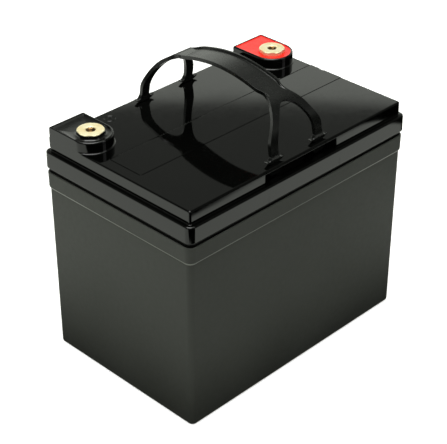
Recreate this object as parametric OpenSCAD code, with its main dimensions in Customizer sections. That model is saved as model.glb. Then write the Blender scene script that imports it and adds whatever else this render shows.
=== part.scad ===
// Sealed lead-acid block battery, 12 V, six cells in line, with a strap handle.
// X is the long side, Y the short side, Z up. Origin at the centre of the underside.
// All sizes in millimetres.

/* [Case] */
// Outside length of the case wall just under its rim
case_l = 192.8; // [190:0.2:193.4]
// Outside width of the case wall just under its rim
case_w = 127.4; // [125:0.2:128]
// How much narrower each side of the case is at the floor than at the rim
case_draft = 0.4; // [0:0.1:1]
// Height of the plain wall, up to the chamfer under the rim band
wall_h = 119.8; // [118:0.2:120.4]
// Height of the top of the rim band
rim_h = 132.9; // [132:0.1:133.4]
// How far the rim band stands out from the wall
rim_out = 0.9; // [0.4:0.1:1]
// Thickness of the outer walls and floor
case_t = 2.8; // [2:0.1:3.2]
// Thickness of the partitions between the cells
part_t = 1.9; // [1.6:0.1:2.2]
// Radius of the upright corners
corner_r = 4; // [2:0.5:5]

/* [Lid] */
// Outside length of the lid flange, the largest size of the block
lid_l = 195; // [194.8:0.1:195.4]
// Outside width of the lid flange
lid_w = 130; // [129.8:0.1:130.4]
// Height of the underside of the lid flange
flange_z0 = 134.5; // [134.3:0.1:134.8]
// Height of the top of the lid flange
flange_z1 = 146.1; // [145.8:0.1:146.4]
// Height of the raised top of the lid
top_z = 155; // [154.8:0.1:155.4]
// How far the raised top is set in from the flange on each side
ledge = 2.6; // [2:0.1:3]
// Thickness of the lid walls
lid_t = 3; // [2.5:0.1:3.2]

/* [Terminals] */
// Length of each terminal tower along X
tower_l = 28.5; // [28:0.1:29]
// Distance from the long centre line to the centre of each terminal
term_y = 38.2; // [37:0.1:39]
// Height of the rim of the towers
tower_z = 162.5; // [162:0.1:163]
// Thickness of the tower walls
tower_t = 1.4; // [1.2:0.1:1.8]
// Width across the flats of the brass terminals
term_af = 16; // [15:0.5:17]
// Height of the top of the terminals
term_z = 164.5; // [164:0.1:165]
// Radius of the threaded holes, nominal M6
thread_r = 3; // [3:0.05:3.1]
// Depth of the threaded holes
thread_depth = 9; // [8:0.5:9.5]
// Radius of the lead posts
post_r = 6; // [5:0.1:6]

/* [Vents] */
// Width of the flush strip that covers the six valves
vent_w = 27; // [25:0.5:28]
// Distance of the strip's centre line from the long centre line
vent_y = 1.5; // [0:0.5:2]
// Distance from the block's centre to the closed end of the strip
vent_x0 = 86; // [85:0.5:87]
// Thickness of the strip
vent_t = 2.4; // [2:0.1:2.6]
// Width of the joint line round the strip
vent_gap = 0.3; // [0.2:0.05:0.4]

/* [Handle] */
// Height of the top of the arched strap
handle_z = 196.6; // [194:0.2:198]
// Width of the grip
grip_w = 19.4; // [18:0.2:20]
// Thickness of the strap
strap_t = 2.4; // [2:0.1:2.6]
// Distance from the long centre line to the legs, where they enter the lid
leg_y = 57.2; // [57:0.1:57.6]
// Distance from the middle to the centre of each leg
leg_x = 19.5; // [18:0.5:20]
// Width of each leg
leg_w = 6.4; // [6:0.2:7]
// How far the handle can be drawn up in its slots
handle_travel = 3; // [2:0.5:3]

/* [Cells] */
// Height of the plates
plate_h = 104; // [100:1:106]
// Length of the plates along Y
plate_l = 116; // [112:1:118]
// Thickness of a positive plate
pos_t = 2.3; // [2:0.1:2.3]
// Thickness of a negative plate
neg_t = 1.7; // [1.5:0.1:1.7]
// Thickness of a separator
sep_t = 1.25; // [1:0.05:1.25]

/* [Hidden] */

cells = 6;
inner_l = case_l - 2 * case_draft - 2 * case_t;
inner_w = case_w - 2 * case_draft - 2 * case_t;
cell_l = (inner_l - (cells - 1) * part_t) / cells;
pitch = cell_l + part_t;
function cell_x(i) = (i - (cells - 1) / 2) * pitch;

plat_l = lid_l - 2 * ledge;
plat_w = lid_w - 2 * ledge;
tower_r = tower_l / 2;
term_x = plat_l / 2 - tower_r;
cup_z = 152;
plate_z = 6;
bar_z0 = 116;
bar_z1 = 121;
weld_z = 125;
weld_r = 4.5;
bar_y = 38.2;

pocket_x = 32;
pocket_y = 54;
pocket_z1 = 153;
slot_l = leg_w + 1.4;
slot_w = strap_t + 0.8;

stack_t = 4 * pos_t + 5 * neg_t + 8 * sep_t;

// Post sides: the positive post stands in the last cell, the negative in the first
function pos_side(i) = (i % 2 == 1) ? 1 : -1;

// ---------- shared shapes ----------

// Plan of a block with round upright corners
module plan(l, w, r) {
  union() {
    square([l - 2 * r, w], center = true);
    square([l, w - 2 * r], center = true);
    for (x = [-1, 1], y = [-1, 1])
      translate([x * (l / 2 - r), y * (w / 2 - r)]) circle(r = r, $fn = 48);
  }
}

module slab(l, w, r, z, h) {
  translate([0, 0, z]) linear_extrude(height = h) plan(l, w, r);
}

// Plan of a terminal tower: square outer end, half-round inner end. side is -1 or 1.
module tower_plan(side, inset) {
  r = tower_r - inset;
  translate([side * term_x, term_y]) union() {
    circle(r = r, $fn = 96);
    translate([-r, 0]) square([2 * r, plat_w / 2 - 0.1 - inset - term_y]);
  }
}

// ---------- case ----------

module case() color("#3b3d37") difference() {
  union() {
    hull() {
      for (x = [-1, 1], y = [-1, 1])
        translate([x * (case_l / 2 - case_draft - corner_r), y * (case_w / 2 - case_draft - corner_r), 0]) {
          cylinder(r = corner_r - 1.4, h = 0.1, $fn = 32);
          translate([0, 0, 0.5]) cylinder(r = corner_r - 0.5, h = 0.1, $fn = 32);
          translate([0, 0, 1.6]) cylinder(r = corner_r, h = 0.1, $fn = 32);
        }
      slab(case_l, case_w, corner_r, wall_h - 0.1, 0.1);
    }
    hull() {
      slab(case_l, case_w, corner_r, wall_h - 0.05, 0.05);
      slab(case_l + 2 * rim_out, case_w + 2 * rim_out, corner_r + rim_out, wall_h + 1.1, 0.1);
      slab(case_l + 2 * rim_out + 0.2, case_w + 2 * rim_out + 0.2, corner_r + rim_out, rim_h - 0.6, 0.1);
      slab(case_l + 2 * rim_out - 0.6, case_w + 2 * rim_out - 0.6, corner_r + rim_out - 0.4, rim_h - 0.1, 0.1);
    }
  }
  // the six cells
  for (i = [0 : cells - 1])
    translate([cell_x(i) - cell_l / 2, -inner_w / 2, case_t]) cube([cell_l, inner_w, rim_h]);
  // holes for the welds between the cells, on alternate sides
  for (i = [0 : cells - 2])
    translate([cell_x(i) + pitch / 2 - part_t, pos_side(i) * bar_y, weld_z])
      rotate([0, 90, 0]) cylinder(r = weld_r, h = 2 * part_t, $fn = 48);
}

// ---------- lid ----------

module lid_seal() color("#17181a") {
  difference() {
    slab(lid_l - 3, lid_w - 3, corner_r, rim_h, flange_z0 - rim_h);
    slab(inner_l, inner_w, 1, rim_h - 1, 4);
  }
  for (i = [0 : cells - 2])
    translate([cell_x(i) + pitch / 2 - part_t / 2, -inner_w / 2 - 0.2, rim_h])
      cube([part_t, inner_w + 0.4, flange_z0 - rim_h]);
}

module lid_skin() {
  hull() {
    slab(lid_l - 0.8, lid_w - 0.8, corner_r, flange_z0, 0.1);
    slab(lid_l, lid_w, corner_r + 0.4, flange_z0 + 0.4, 0.1);
    slab(lid_l - 0.3, lid_w - 0.3, corner_r + 0.3, flange_z1 - 0.8, 0.1);
    slab(lid_l - 0.7, lid_w - 0.7, corner_r, flange_z1 - 0.3, 0.1);
    slab(lid_l - 1.5, lid_w - 1.5, corner_r - 0.4, flange_z1 - 0.1, 0.1);
  }
  hull() {
    slab(plat_l, plat_w, 2, flange_z1 - 0.2, 0.1);
    slab(plat_l - 0.2, plat_w - 0.2, 1.9, top_z - 0.6, 0.1);
    slab(plat_l - 0.5, plat_w - 0.5, 1.75, top_z - 0.25, 0.05);
    slab(plat_l - 1.1, plat_w - 1.1, 1.45, top_z - 0.05, 0.05);
  }
}

// The six vent chimneys under the strip
module chimneys() {
  for (i = [0 : cells - 1]) translate([cell_x(i), vent_y, 142.5]) cylinder(r = 4.8, h = 8.2, $fn = 48);
}

// Room kept free for the handle pocket on side s
module pocket_block(s, grow) {
  translate([-pocket_x - 2 - grow, s > 0 ? pocket_y - 2 - grow : -plat_w / 2 + 0.4 - grow, flange_z1 - 2.4 - grow])
    cube([2 * (pocket_x + 2 + grow), plat_w / 2 - 0.4 - pocket_y + 2 + 2 * grow, top_z - 0.6 - flange_z1 + 2.4]);
}

// Outer lid: flange, raised deck, handle pockets and the floors of the two terminal cups
module lid() color("#26282b") difference() {
  union() {
    difference() {
      lid_skin();
      // hollow underside
      translate([-inner_l / 2, -inner_w / 2 + 0.6, flange_z0 - 1]) cube([inner_l, inner_w - 1.2, top_z - lid_t - flange_z0 + 1]);
    }
    for (s = [-1, 1]) pocket_block(s, 0);
    // thick pads under the terminal cups
    for (s = [-1, 1]) translate([0, 0, 148.5]) linear_extrude(height = top_z - 148.6) tower_plan(s, 0.6);
  }
  // seat of the vent strip, open at the +X end
  translate([-vent_x0 - vent_gap, vent_y - vent_w / 2 - vent_gap, top_z - vent_t])
    cube([plat_l / 2 + vent_x0 + 2, vent_w + 2 * vent_gap, vent_t + 1]);
  // opening over the valve trough
  translate([-vent_x0 + 1, vent_y - vent_w / 2 + 2.5, 148]) cube([2 * vent_x0 - 2, vent_w - 5, 10]);
  // handle pockets, open to the side, and the slots through the plate above them
  for (s = [-1, 1]) {
    translate([-pocket_x, s > 0 ? pocket_y : -plat_w / 2 - 2, flange_z1])
      cube([2 * pocket_x, plat_w / 2 + 2 - pocket_y, pocket_z1 - flange_z1]);
    for (x = [-1, 1])
      translate([x * leg_x - slot_l / 2, s * leg_y - slot_w / 2, pocket_z1 - 1]) cube([slot_l, slot_w, top_z - pocket_z1 + 2]);
  }
  // floor of each terminal cup, with its post hole
  for (s = [-1, 1]) {
    translate([0, 0, cup_z]) linear_extrude(height = 20) tower_plan(s, tower_t);
    translate([s * term_x, term_y, 140]) cylinder(r = post_r + 0.3, h = 20, $fn = 64);
    translate([s * term_x, term_y, cup_z - 2]) cylinder(r = post_r + 3, h = 4, $fn = 64);
  }
}

// Rim of a terminal cup, welded on the deck
module cup_rim(s) difference() {
  translate([0, 0, top_z]) linear_extrude(height = tower_z - top_z) tower_plan(s, 0);
  translate([0, 0, top_z - 1]) linear_extrude(height = tower_z - top_z + 2) tower_plan(s, tower_t);
}
module negative_tower() color("#26282b") cup_rim(-1);
module positive_tower() color("#26282b") cup_rim(1);

// Inner lid: one wall over each partition of the case, and the valve trough that joins them
module inner_lid() color("#303236") difference() {
  union() {
    difference() {
      union() {
        for (i = [0 : cells - 2])
          translate([cell_x(i) + pitch / 2 - part_t / 2, -inner_w / 2 + 0.8, flange_z0])
            cube([part_t, inner_w - 1.6, top_z - lid_t - 0.2 - flange_z0]);
        translate([-vent_x0 - 1, vent_y - vent_w / 2 + 0.5, 141]) cube([2 * vent_x0 + 2, vent_w - 1, top_z - lid_t - 141]);
      }
      translate([-vent_x0 + 1, vent_y - vent_w / 2 + 2.5, 143]) cube([2 * vent_x0 - 2, vent_w - 5, 20]);
      for (s = [-1, 1]) pocket_block(s, 0.3);
    }
    chimneys();
  }
  for (i = [0 : cells - 1]) translate([cell_x(i), vent_y, 130]) cylinder(r = 3, h = 30, $fn = 48);
}

module vent_cover() color("#26282b")
  difference() {
    union() {
      translate([-vent_x0, vent_y - vent_w / 2, top_z - vent_t]) cube([vent_x0 + plat_l / 2 - 0.3, vent_w, vent_t]);
      // rib that locates the strip in the trough
      translate([-vent_x0 + 2.8, vent_y - vent_w / 2 + 2.8, top_z - vent_t - 1]) cube([2 * vent_x0 - 5.6, 1.4, 1.2]);
      translate([-vent_x0 + 2.8, vent_y + vent_w / 2 - 4.2, top_z - vent_t - 1]) cube([2 * vent_x0 - 5.6, 1.4, 1.2]);
    }
    // finger-nail notch at the free end
    translate([plat_l / 2 - 1.3, vent_y + 1.5, top_z - 0.8]) cube([4, 4, 2]);
  }

module valve_caps() color("#1a1a1a")
  for (i = [0 : cells - 1]) translate([cell_x(i), vent_y, 143.6]) difference() {
    cylinder(r = 6.2, h = 8.4, $fn = 64);
    translate([0, 0, -1]) cylinder(r = 4.85, h = 8.1, $fn = 64);
  }

// ---------- cell elements ----------

function plate_x(k) = -stack_t / 2 + k * (neg_t + sep_t + pos_t + sep_t);

module pos_plate_set(i) {
  side = pos_side(i);
  for (k = [0 : 3])
    translate([cell_x(i) + plate_x(k) + neg_t + sep_t + 0.03, 0, 0]) {
      translate([0, -plate_l / 2, plate_z]) cube([pos_t - 0.06, plate_l, plate_h]);
      translate([0, side * bar_y - 6, plate_z + plate_h - 0.1]) cube([pos_t - 0.06, 12, bar_z0 - plate_z - plate_h + 0.1]);
    }
}

module neg_plate_set(i) {
  side = -pos_side(i);
  for (k = [0 : 4])
    translate([cell_x(i) + plate_x(k) + 0.03, 0, 0]) {
      translate([0, -plate_l / 2, plate_z]) cube([neg_t - 0.06, plate_l, plate_h]);
      translate([0, side * bar_y - 6, plate_z + plate_h - 0.1]) cube([neg_t - 0.06, 12, bar_z0 - plate_z - plate_h + 0.1]);
    }
}

module positive_plates() color("#4a2f26") for (i = [0 : cells - 1]) pos_plate_set(i);
module negative_plates() color("#7d8084") for (i = [0 : cells - 1]) neg_plate_set(i);

module separators() color("#f0efe8")
  for (i = [0 : cells - 1], k = [0 : 3], j = [0, 1])
    translate([cell_x(i) + plate_x(k) + neg_t + j * (sep_t + pos_t), -plate_l / 2 - 1, plate_z - 2])
      cube([sep_t, plate_l + 2, plate_h + 5]);

// Cast bar over one group of plates. tab is the side its upright faces: -1, 0 or 1.
module bar(i, side, tab) {
  half = cell_l / 2 - 0.2;
  translate([cell_x(i) - half + 0.6, side * bar_y - 7, bar_z0]) cube([2 * half - 1.2, 14, bar_z1 - bar_z0]);
  if (tab != 0)
    translate([cell_x(i) + (tab > 0 ? half - 3 : -half), side * bar_y - 7, bar_z0]) cube([3, 14, weld_z + 6 - bar_z0]);
}

module positive_straps() color("#9a9da0")
  for (i = [0 : cells - 1]) bar(i, pos_side(i), i == cells - 1 ? 0 : 1);
module negative_straps() color("#9a9da0")
  for (i = [0 : cells - 1]) bar(i, -pos_side(i), i == 0 ? 0 : -1);

module intercell_welds() color("#b0b3b6")
  for (i = [0 : cells - 2])
    translate([cell_x(i) + cell_l / 2 - 0.2, pos_side(i) * bar_y, weld_z])
      rotate([0, 90, 0]) cylinder(r = weld_r - 0.1, h = part_t + 0.4, $fn = 48);

module post(s) translate([s * term_x, term_y, 0]) {
  translate([0, 0, bar_z1]) cylinder(r = 9, h = 4, $fn = 64);
  translate([0, 0, bar_z1 + 3.9]) cylinder(r = post_r, h = 153.5 - bar_z1 - 3.9, $fn = 64);
}
module positive_post() color("#9a9da0") post(1);
module negative_post() color("#9a9da0") post(-1);

module gasket(s) translate([s * term_x, term_y, cup_z - 1])
  rotate_extrude($fn = 64) translate([post_r + 1.3, 0]) circle(r = 1, $fn = 24);
module positive_gasket() color("#141414") gasket(1);
module negative_gasket() color("#141414") gasket(-1);

// ---------- terminals ----------

module terminal_body(s, h) translate([s * term_x, term_y, 153.5])
  rotate([0, 0, 15]) cylinder(r = term_af / 2 / cos(30), h = h, $fn = 6);

module terminal(s) difference() {
  intersection() {
    terminal_body(s, term_z - 153.5);
    // turned chamfer round the top
    translate([s * term_x, term_y, 0]) rotate_extrude($fn = 96)
      polygon([[0, 150], [term_af, 150], [term_af, term_z - 4.5], [term_af / 2 + 0.45, term_z - 0.25], [term_af / 2 + 0.2, term_z], [0, term_z]]);
  }
  translate([s * term_x, term_y, term_z - thread_depth]) cylinder(r = thread_r, h = thread_depth + 1, $fn = 64);
  translate([s * term_x, term_y, term_z - 0.4]) cylinder(r1 = thread_r, r2 = thread_r + 0.5, h = 0.5, $fn = 64);
}
module positive_terminal() color("#d9b56a") terminal(1);
module negative_terminal() color("#d9b56a") terminal(-1);

module seal(s, z1) difference() {
  translate([0, 0, cup_z]) linear_extrude(height = z1 - cup_z) tower_plan(s, tower_t);
  terminal_body(s, 30);
  translate([s * term_x, term_y, cup_z - 1]) cylinder(r = post_r, h = 3, $fn = 64);
}
module positive_seal() color("#e2231a") seal(1, tower_z - 0.4);
module negative_seal() color("#1d1e20") seal(-1, tower_z - 1.8);

// ---------- handle ----------

// Half of the strap's run seen along X, as [y, z] of its middle line: two cubic curves and a straight leg
hz = handle_z - strap_t / 2;
c0 = [[0, hz], [15, hz], [32, hz - 4], [43, hz - 9.6]];
c1 = [[43, hz - 9.6], [50.9, hz - 13.6], [55.1, 173], [56.1, 163]];
c2 = [[56.1, 163], [56.4, 160], [leg_y, 159.5], [leg_y, 156]];
function bez(p, t) = pow(1 - t, 3) * p[0] + 3 * pow(1 - t, 2) * t * p[1] + 3 * (1 - t) * t * t * p[2] + pow(t, 3) * p[3];
function dbez(p, t) = 3 * pow(1 - t, 2) * (p[1] - p[0]) + 6 * (1 - t) * t * (p[2] - p[1]) + 3 * t * t * (p[3] - p[2]);
function offs(p, t, d) = let (q = bez(p, t), v = dbez(p, t), n = norm(v)) [q[0] - v[1] / n * d, q[1] + v[0] / n * d];
function side_of(d) = concat([for (i = [0 : 11]) offs(c0, i / 12, d)], [for (i = [0 : 11]) offs(c1, i / 12, d)],
                             [for (i = [0 : 4]) offs(c2, i / 4, d)]);
leg_end = 147.2;

// Whole run as one closed outline, from the far leg's end to the near leg's end and back
out_pts = side_of(strap_t / 2);
in_pts = side_of(-strap_t / 2);
last = len(out_pts) - 1;
module run()
  polygon(concat([[-leg_y - strap_t / 2, leg_end]], [for (i = [last : -1 : 1]) [-out_pts[i][0], out_pts[i][1]]], out_pts,
                 [[leg_y + strap_t / 2, leg_end], [leg_y - strap_t / 2, leg_end]],
                 [for (i = [last : -1 : 1]) in_pts[i]], [for (i = [0 : last]) [-in_pts[i][0], in_pts[i][1]]],
                 [[-leg_y + strap_t / 2, leg_end]]));

// Front outline: grip, shoulders and two legs
module outline_x() {
  gx = grip_w / 2;
  xo = leg_x + leg_w / 2;
  xi = leg_x - leg_w / 2;
  right_edge = [[gx, 200], [gx, 190.6], [gx - 0.5, 189.8], [gx - 1.5, 189], [gx - 1.8, 188.4], [gx - 1.6, 187.7], [gx - 1, 186.8],
                [gx + 1.3, 184.8], [gx + 3, 183], [gx + 4.8, 180.6], [xo - 6, 177.2], [xo - 3.4, 173.4], [xo - 1.1, 169.7], [xo, 166.8], [xo, 140]];
  right_in = [[xi, 130], [xi, 163], [xi - 0.4, 166.9], [xi - 1.6, 170.6], [xi - 4.2, 175.4], [9.2, 179.6], [6.5, 182.2],
              [5.3, 183], [4.1, 183.6], [2.6, 184.15], [0.9, 184.45]];
  difference() {
    polygon(concat(right_edge, [for (i = [len(right_edge) - 1 : -1 : 0]) [-right_edge[i][0], right_edge[i][1]]]));
    polygon(concat(right_in, [for (i = [len(right_in) - 1 : -1 : 0]) [-right_in[i][0], right_in[i][1]]]));
  }
  // ears that rest over the lid, and barbs that catch under the plate
  h = leg_w / 2;
  for (x = [-1, 1]) translate([x * leg_x, 0]) {
    polygon([[-h, 155.3], [-h - 1.6, 155.5], [-h - 4.3, 156.9], [-h - 4.3, 157.5], [-h - 2, 157.6], [-h, 159.4],
             [h, 159.4], [h + 2, 157.6], [h + 4.3, 157.5], [h + 4.3, 156.9], [h + 1.6, 155.5], [h, 155.3]]);
    polygon([[-h, leg_end], [-h - 2.4, 149.2], [-h - 2.4, 149.7], [h + 2.4, 149.7], [h + 2.4, 149.2], [h, leg_end]]);
  }
}

module handle() color("#2b2d2f") intersection() {
  rotate([90, 0, 90]) translate([0, 0, -30]) linear_extrude(height = 60) run();
  rotate([90, 0, 0]) translate([0, 0, -70]) linear_extrude(height = 140) outline_x();
}

case();
lid();
inner_lid();
lid_seal();
negative_tower();
positive_tower();
vent_cover();
valve_caps();
positive_plates();
negative_plates();
separators();
positive_straps();
negative_straps();
intercell_welds();
positive_post();
negative_post();
positive_gasket();
negative_gasket();
positive_terminal();
negative_terminal();
positive_seal();
negative_seal();
handle();
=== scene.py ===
import bpy
import bmesh
import math
from mathutils import Matrix, Vector


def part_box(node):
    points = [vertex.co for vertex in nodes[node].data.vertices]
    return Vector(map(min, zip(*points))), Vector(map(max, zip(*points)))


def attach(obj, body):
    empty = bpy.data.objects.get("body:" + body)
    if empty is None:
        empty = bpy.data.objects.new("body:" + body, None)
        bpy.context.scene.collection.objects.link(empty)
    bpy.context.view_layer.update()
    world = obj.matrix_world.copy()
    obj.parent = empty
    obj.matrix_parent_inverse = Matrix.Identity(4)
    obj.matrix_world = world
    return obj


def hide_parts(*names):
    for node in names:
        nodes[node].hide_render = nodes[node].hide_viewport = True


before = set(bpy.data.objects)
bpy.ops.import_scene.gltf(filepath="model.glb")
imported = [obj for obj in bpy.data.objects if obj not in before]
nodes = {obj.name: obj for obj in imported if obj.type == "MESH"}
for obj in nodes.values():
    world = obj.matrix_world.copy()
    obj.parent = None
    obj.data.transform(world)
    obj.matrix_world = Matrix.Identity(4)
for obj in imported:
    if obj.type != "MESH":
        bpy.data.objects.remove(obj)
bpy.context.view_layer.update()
scene = bpy.context.scene

MM = 0.001
rad = math.radians


def span(node):
    """Lowest and highest corner of a CAD node, in millimetres."""
    lo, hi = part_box(node)
    return [c / MM for c in lo], [c / MM for c in hi]


# ------------------------------------------------------------------ sizes read from the frame (mm)
lid_lo, lid_hi = span("lid")
case_lo, case_hi = span("case")
strip_lo, strip_hi = span("vent_cover")
cup_lo, cup_hi = span("negative_tower")
neg_lo, neg_hi = span("negative_terminal")
pos_lo, pos_hi = span("positive_terminal")
bed_lo, bed_hi = span("negative_seal")
red_lo, red_hi = span("positive_seal")
han_lo, han_hi = span("handle")

LID_L, LID_W = lid_hi[0] - lid_lo[0], lid_hi[1] - lid_lo[1]
FLANGE0 = lid_lo[2]
TOWER_Z = cup_hi[2]
TOP = lid_hi[2]
FLANGE1 = TOP - 8.9
LEDGE = 3.1
LEG_Y = han_hi[1] - 1.2
TERM_X = (pos_lo[0] + pos_hi[0]) / 2
TERM_Y = (pos_lo[1] + pos_hi[1]) / 2
TERM_Z = pos_hi[2]
TERM_Z0 = pos_lo[2]
TOWER_R = LID_L / 2 - 2.7 - TERM_X
FLUSH_X = LID_L / 2 - LEDGE
FLUSH_Y = LID_W / 2 - LEDGE - 0.1


# ------------------------------------------------------------------ mesh helpers
def link(name, verts, faces, mats=(), smooth=True):
    me = bpy.data.meshes.new(name)
    me.from_pydata([(x * MM, y * MM, z * MM) for x, y, z in verts], [], faces)
    me.update()
    ob = bpy.data.objects.new(name, me)
    scene.collection.objects.link(ob)
    for m in mats:
        me.materials.append(m)
    if smooth:
        me.polygons.foreach_set("use_smooth", [True] * len(me.polygons))
    return ob


def fix_normals(ob):
    bm = bmesh.new()
    bm.from_mesh(ob.data)
    bmesh.ops.remove_doubles(bm, verts=bm.verts, dist=2e-7)
    bmesh.ops.recalc_face_normals(bm, faces=bm.faces)
    bm.to_mesh(ob.data)
    bm.free()
    return ob


def loops_mesh(loops, cap0=True, cap1=True, closed=True):
    """Vertices and faces of a stack of loops that all have the same number of points."""
    n = len(loops[0])
    verts = [p for lp in loops for p in lp]
    faces = []
    for k in range(len(loops) - 1):
        for i in range(n if closed else n - 1):
            a, b = k * n + i, k * n + (i + 1) % n
            faces.append((a, b, b + n, a + n))
    if cap0:
        faces.append(tuple(range(n - 1, -1, -1)))
    if cap1:
        o = (len(loops) - 1) * n
        faces.append(tuple(o + i for i in range(n)))
    return verts, faces


def rr(l, w, r, z=None, cx=0.0, cy=0.0, n=8):
    """Rounded rectangle, anticlockwise."""
    r = max(r, 0.01)
    out = []
    for sx, sy, a0 in ((1, 1, 0), (-1, 1, 90), (-1, -1, 180), (1, -1, 270)):
        for i in range(n + 1):
            a = rad(a0 + 90 * i / n)
            x = cx + sx * (l / 2 - r) + r * math.cos(a)
            y = cy + sy * (w / 2 - r) + r * math.sin(a)
            out.append((x, y) if z is None else (x, y, z))
    return out


def box_cut(x0, x1, y0, y1, z0, z1):
    v = [(x, y, z) for z in (z0, z1) for x, y in ((x0, y0), (x1, y0), (x1, y1), (x0, y1))]
    return v, [(3, 2, 1, 0), (4, 5, 6, 7), (0, 1, 5, 4), (1, 2, 6, 5), (2, 3, 7, 6), (3, 0, 4, 7)]


def join(parts):
    verts, faces = [], []
    for v, f in parts:
        o = len(verts)
        verts += v
        faces += [tuple(i + o for i in q) for q in f]
    return verts, faces


def cyl(cx, cy, r, z0, z1, n=40):
    ring = [(cx + r * math.cos(2 * math.pi * i / n), cy + r * math.sin(2 * math.pi * i / n)) for i in range(n)]
    return loops_mesh([[(x, y, z) for x, y in ring] for z in (z0, z1)])


def boolean(ob, parts, op):
    """Adds or cuts closed shells, given as a list of (vertices, faces)."""
    tool = fix_normals(link("tool", *join(parts)))
    md = ob.modifiers.new("b", "BOOLEAN")
    md.operation, md.object, md.solver = op, tool, "EXACT"
    bpy.context.view_layer.update()
    dg = bpy.context.evaluated_depsgraph_get()
    me = bpy.data.meshes.new_from_object(ob.evaluated_get(dg))
    ob.modifiers.clear()
    old = ob.data
    me.name = old.name
    ob.data = me
    bpy.data.meshes.remove(old)
    tm = tool.data
    bpy.data.objects.remove(tool)
    bpy.data.meshes.remove(tm)
    return ob


def crisp(ob, angle=35):
    """Flat faces stay flat and small roundings stay round."""
    me = ob.data
    me.polygons.foreach_set("use_smooth", [True] * len(me.polygons))
    me.set_sharp_from_angle(angle=rad(angle))
    md = ob.modifiers.new("normals", "WEIGHTED_NORMAL")
    md.mode, md.weight, md.keep_sharp = "FACE_AREA", 50, True
    return ob


def bevelled(ob, width, segments=3, angle=40):
    md = ob.modifiers.new("edges", "BEVEL")
    md.width, md.segments, md.limit_method, md.angle_limit = width * MM, segments, "ANGLE", rad(angle)
    md.harden_normals = False
    md.use_clamp_overlap = True
    return ob


def done(ob, body, slot_name, *replaced):
    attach(ob, body)
    if replaced:
        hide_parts(*replaced)
    return ob


# ------------------------------------------------------------------ materials
def sock(s, v):
    if isinstance(v, bpy.types.NodeSocket):
        s.id_data.links.new(v, s)
    elif isinstance(v, (tuple, list)) and len(v) == 3 and s.type == "RGBA":
        s.default_value = (*v, 1.0)
    else:
        s.default_value = v


def nd(tree, kind, ins=None, **attrs):
    n = tree.nodes.new(kind)
    for k, v in attrs.items():
        setattr(n, k, v)
    for k, v in (ins or {}).items():
        sock(n.inputs[k], v)
    return n


def math_n(tree, op, a, b=0.0, c=0.0, clamp=False):
    n = nd(tree, "ShaderNodeMath", {0: a, 1: b, 2: c}, operation=op, use_clamp=clamp)
    return n.outputs[0]


def remap(tree, v, a, b, c, d, smooth=False):
    n = nd(tree, "ShaderNodeMapRange", {0: v, 1: a, 2: b, 3: c, 4: d}, interpolation_type="SMOOTHSTEP" if smooth else "LINEAR")
    return n.outputs[0]


def noise(tree, co, scale, detail=3.0, rough=0.55, distortion=0.0):
    n = nd(tree, "ShaderNodeTexNoise", {"Vector": co, "Scale": scale, "Detail": detail, "Roughness": rough, "Distortion": distortion})
    return n.outputs[0]


def mix_col(tree, f, a, b):
    n = nd(tree, "ShaderNodeMix", data_type="RGBA")
    sock(n.inputs[0], f)
    sock(n.inputs[6], a)
    sock(n.inputs[7], b)
    return n.outputs[2]


def start(name):
    m = bpy.data.materials.new(name)
    m.use_nodes = True
    t = m.node_tree
    t.nodes.clear()
    out = t.nodes.new("ShaderNodeOutputMaterial")
    p = t.nodes.new("ShaderNodeBsdfPrincipled")
    t.links.new(p.outputs[0], out.inputs[0])
    co = t.nodes.new("ShaderNodeTexCoord").outputs["Object"]
    return m, t, p, co


def bump(tree, height, dist, strength=1.0, normal=None):
    ins = {"Height": height, "Distance": dist, "Strength": strength}
    if normal is not None:
        ins["Normal"] = normal
    return nd(tree, "ShaderNodeBump", ins).outputs[0]


def plastic(name, dark, light, rough, grain, grain_d, blotch=18.0, wave=None, wave_d=0.0, coat=None, specular=0.5, ior=1.5, streak=0.0):
    """Moulded plastic: slow colour drift, fine surface grain, a little uneven gloss, slow sink marks."""
    m, t, p, co = start(name)
    slow = noise(t, co, blotch, 3.0, 0.6)
    fine = noise(t, co, grain, 2.0, 0.6)
    mid = noise(t, co, grain * 0.12, 3.0, 0.6)
    f = math_n(t, "ADD", math_n(t, "MULTIPLY", slow, 0.75), math_n(t, "MULTIPLY", fine, 0.25))
    sock(p.inputs["Base Color"], mix_col(t, remap(t, f, 0.36, 0.64, 0.0, 1.0), dark, light))
    r = remap(t, math_n(t, "ADD", math_n(t, "MULTIPLY", mid, 0.6), math_n(t, "MULTIPLY", slow, 0.4)), 0.35, 0.65, rough[0], rough[1])
    sock(p.inputs["Roughness"], r)
    nrm = None
    if wave:
        nrm = bump(t, noise(t, co, wave, 1.0, 0.4), wave_d)
    if streak:
        stretched = nd(t, "ShaderNodeMapping", {"Vector": co, "Scale": (6.0, 260.0, 260.0)}).outputs[0]
        nrm = bump(t, noise(t, stretched, 9.0, 2.0, 0.5), streak, 1.0, nrm)
    sock(p.inputs["Normal"], bump(t, fine, grain_d, 1.0, nrm))
    p.inputs["Specular IOR Level"].default_value = specular
    p.inputs["IOR"].default_value = ior
    if coat:
        p.inputs["Coat Weight"].default_value = coat
        p.inputs["Coat Roughness"].default_value = 0.05
    return m


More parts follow.
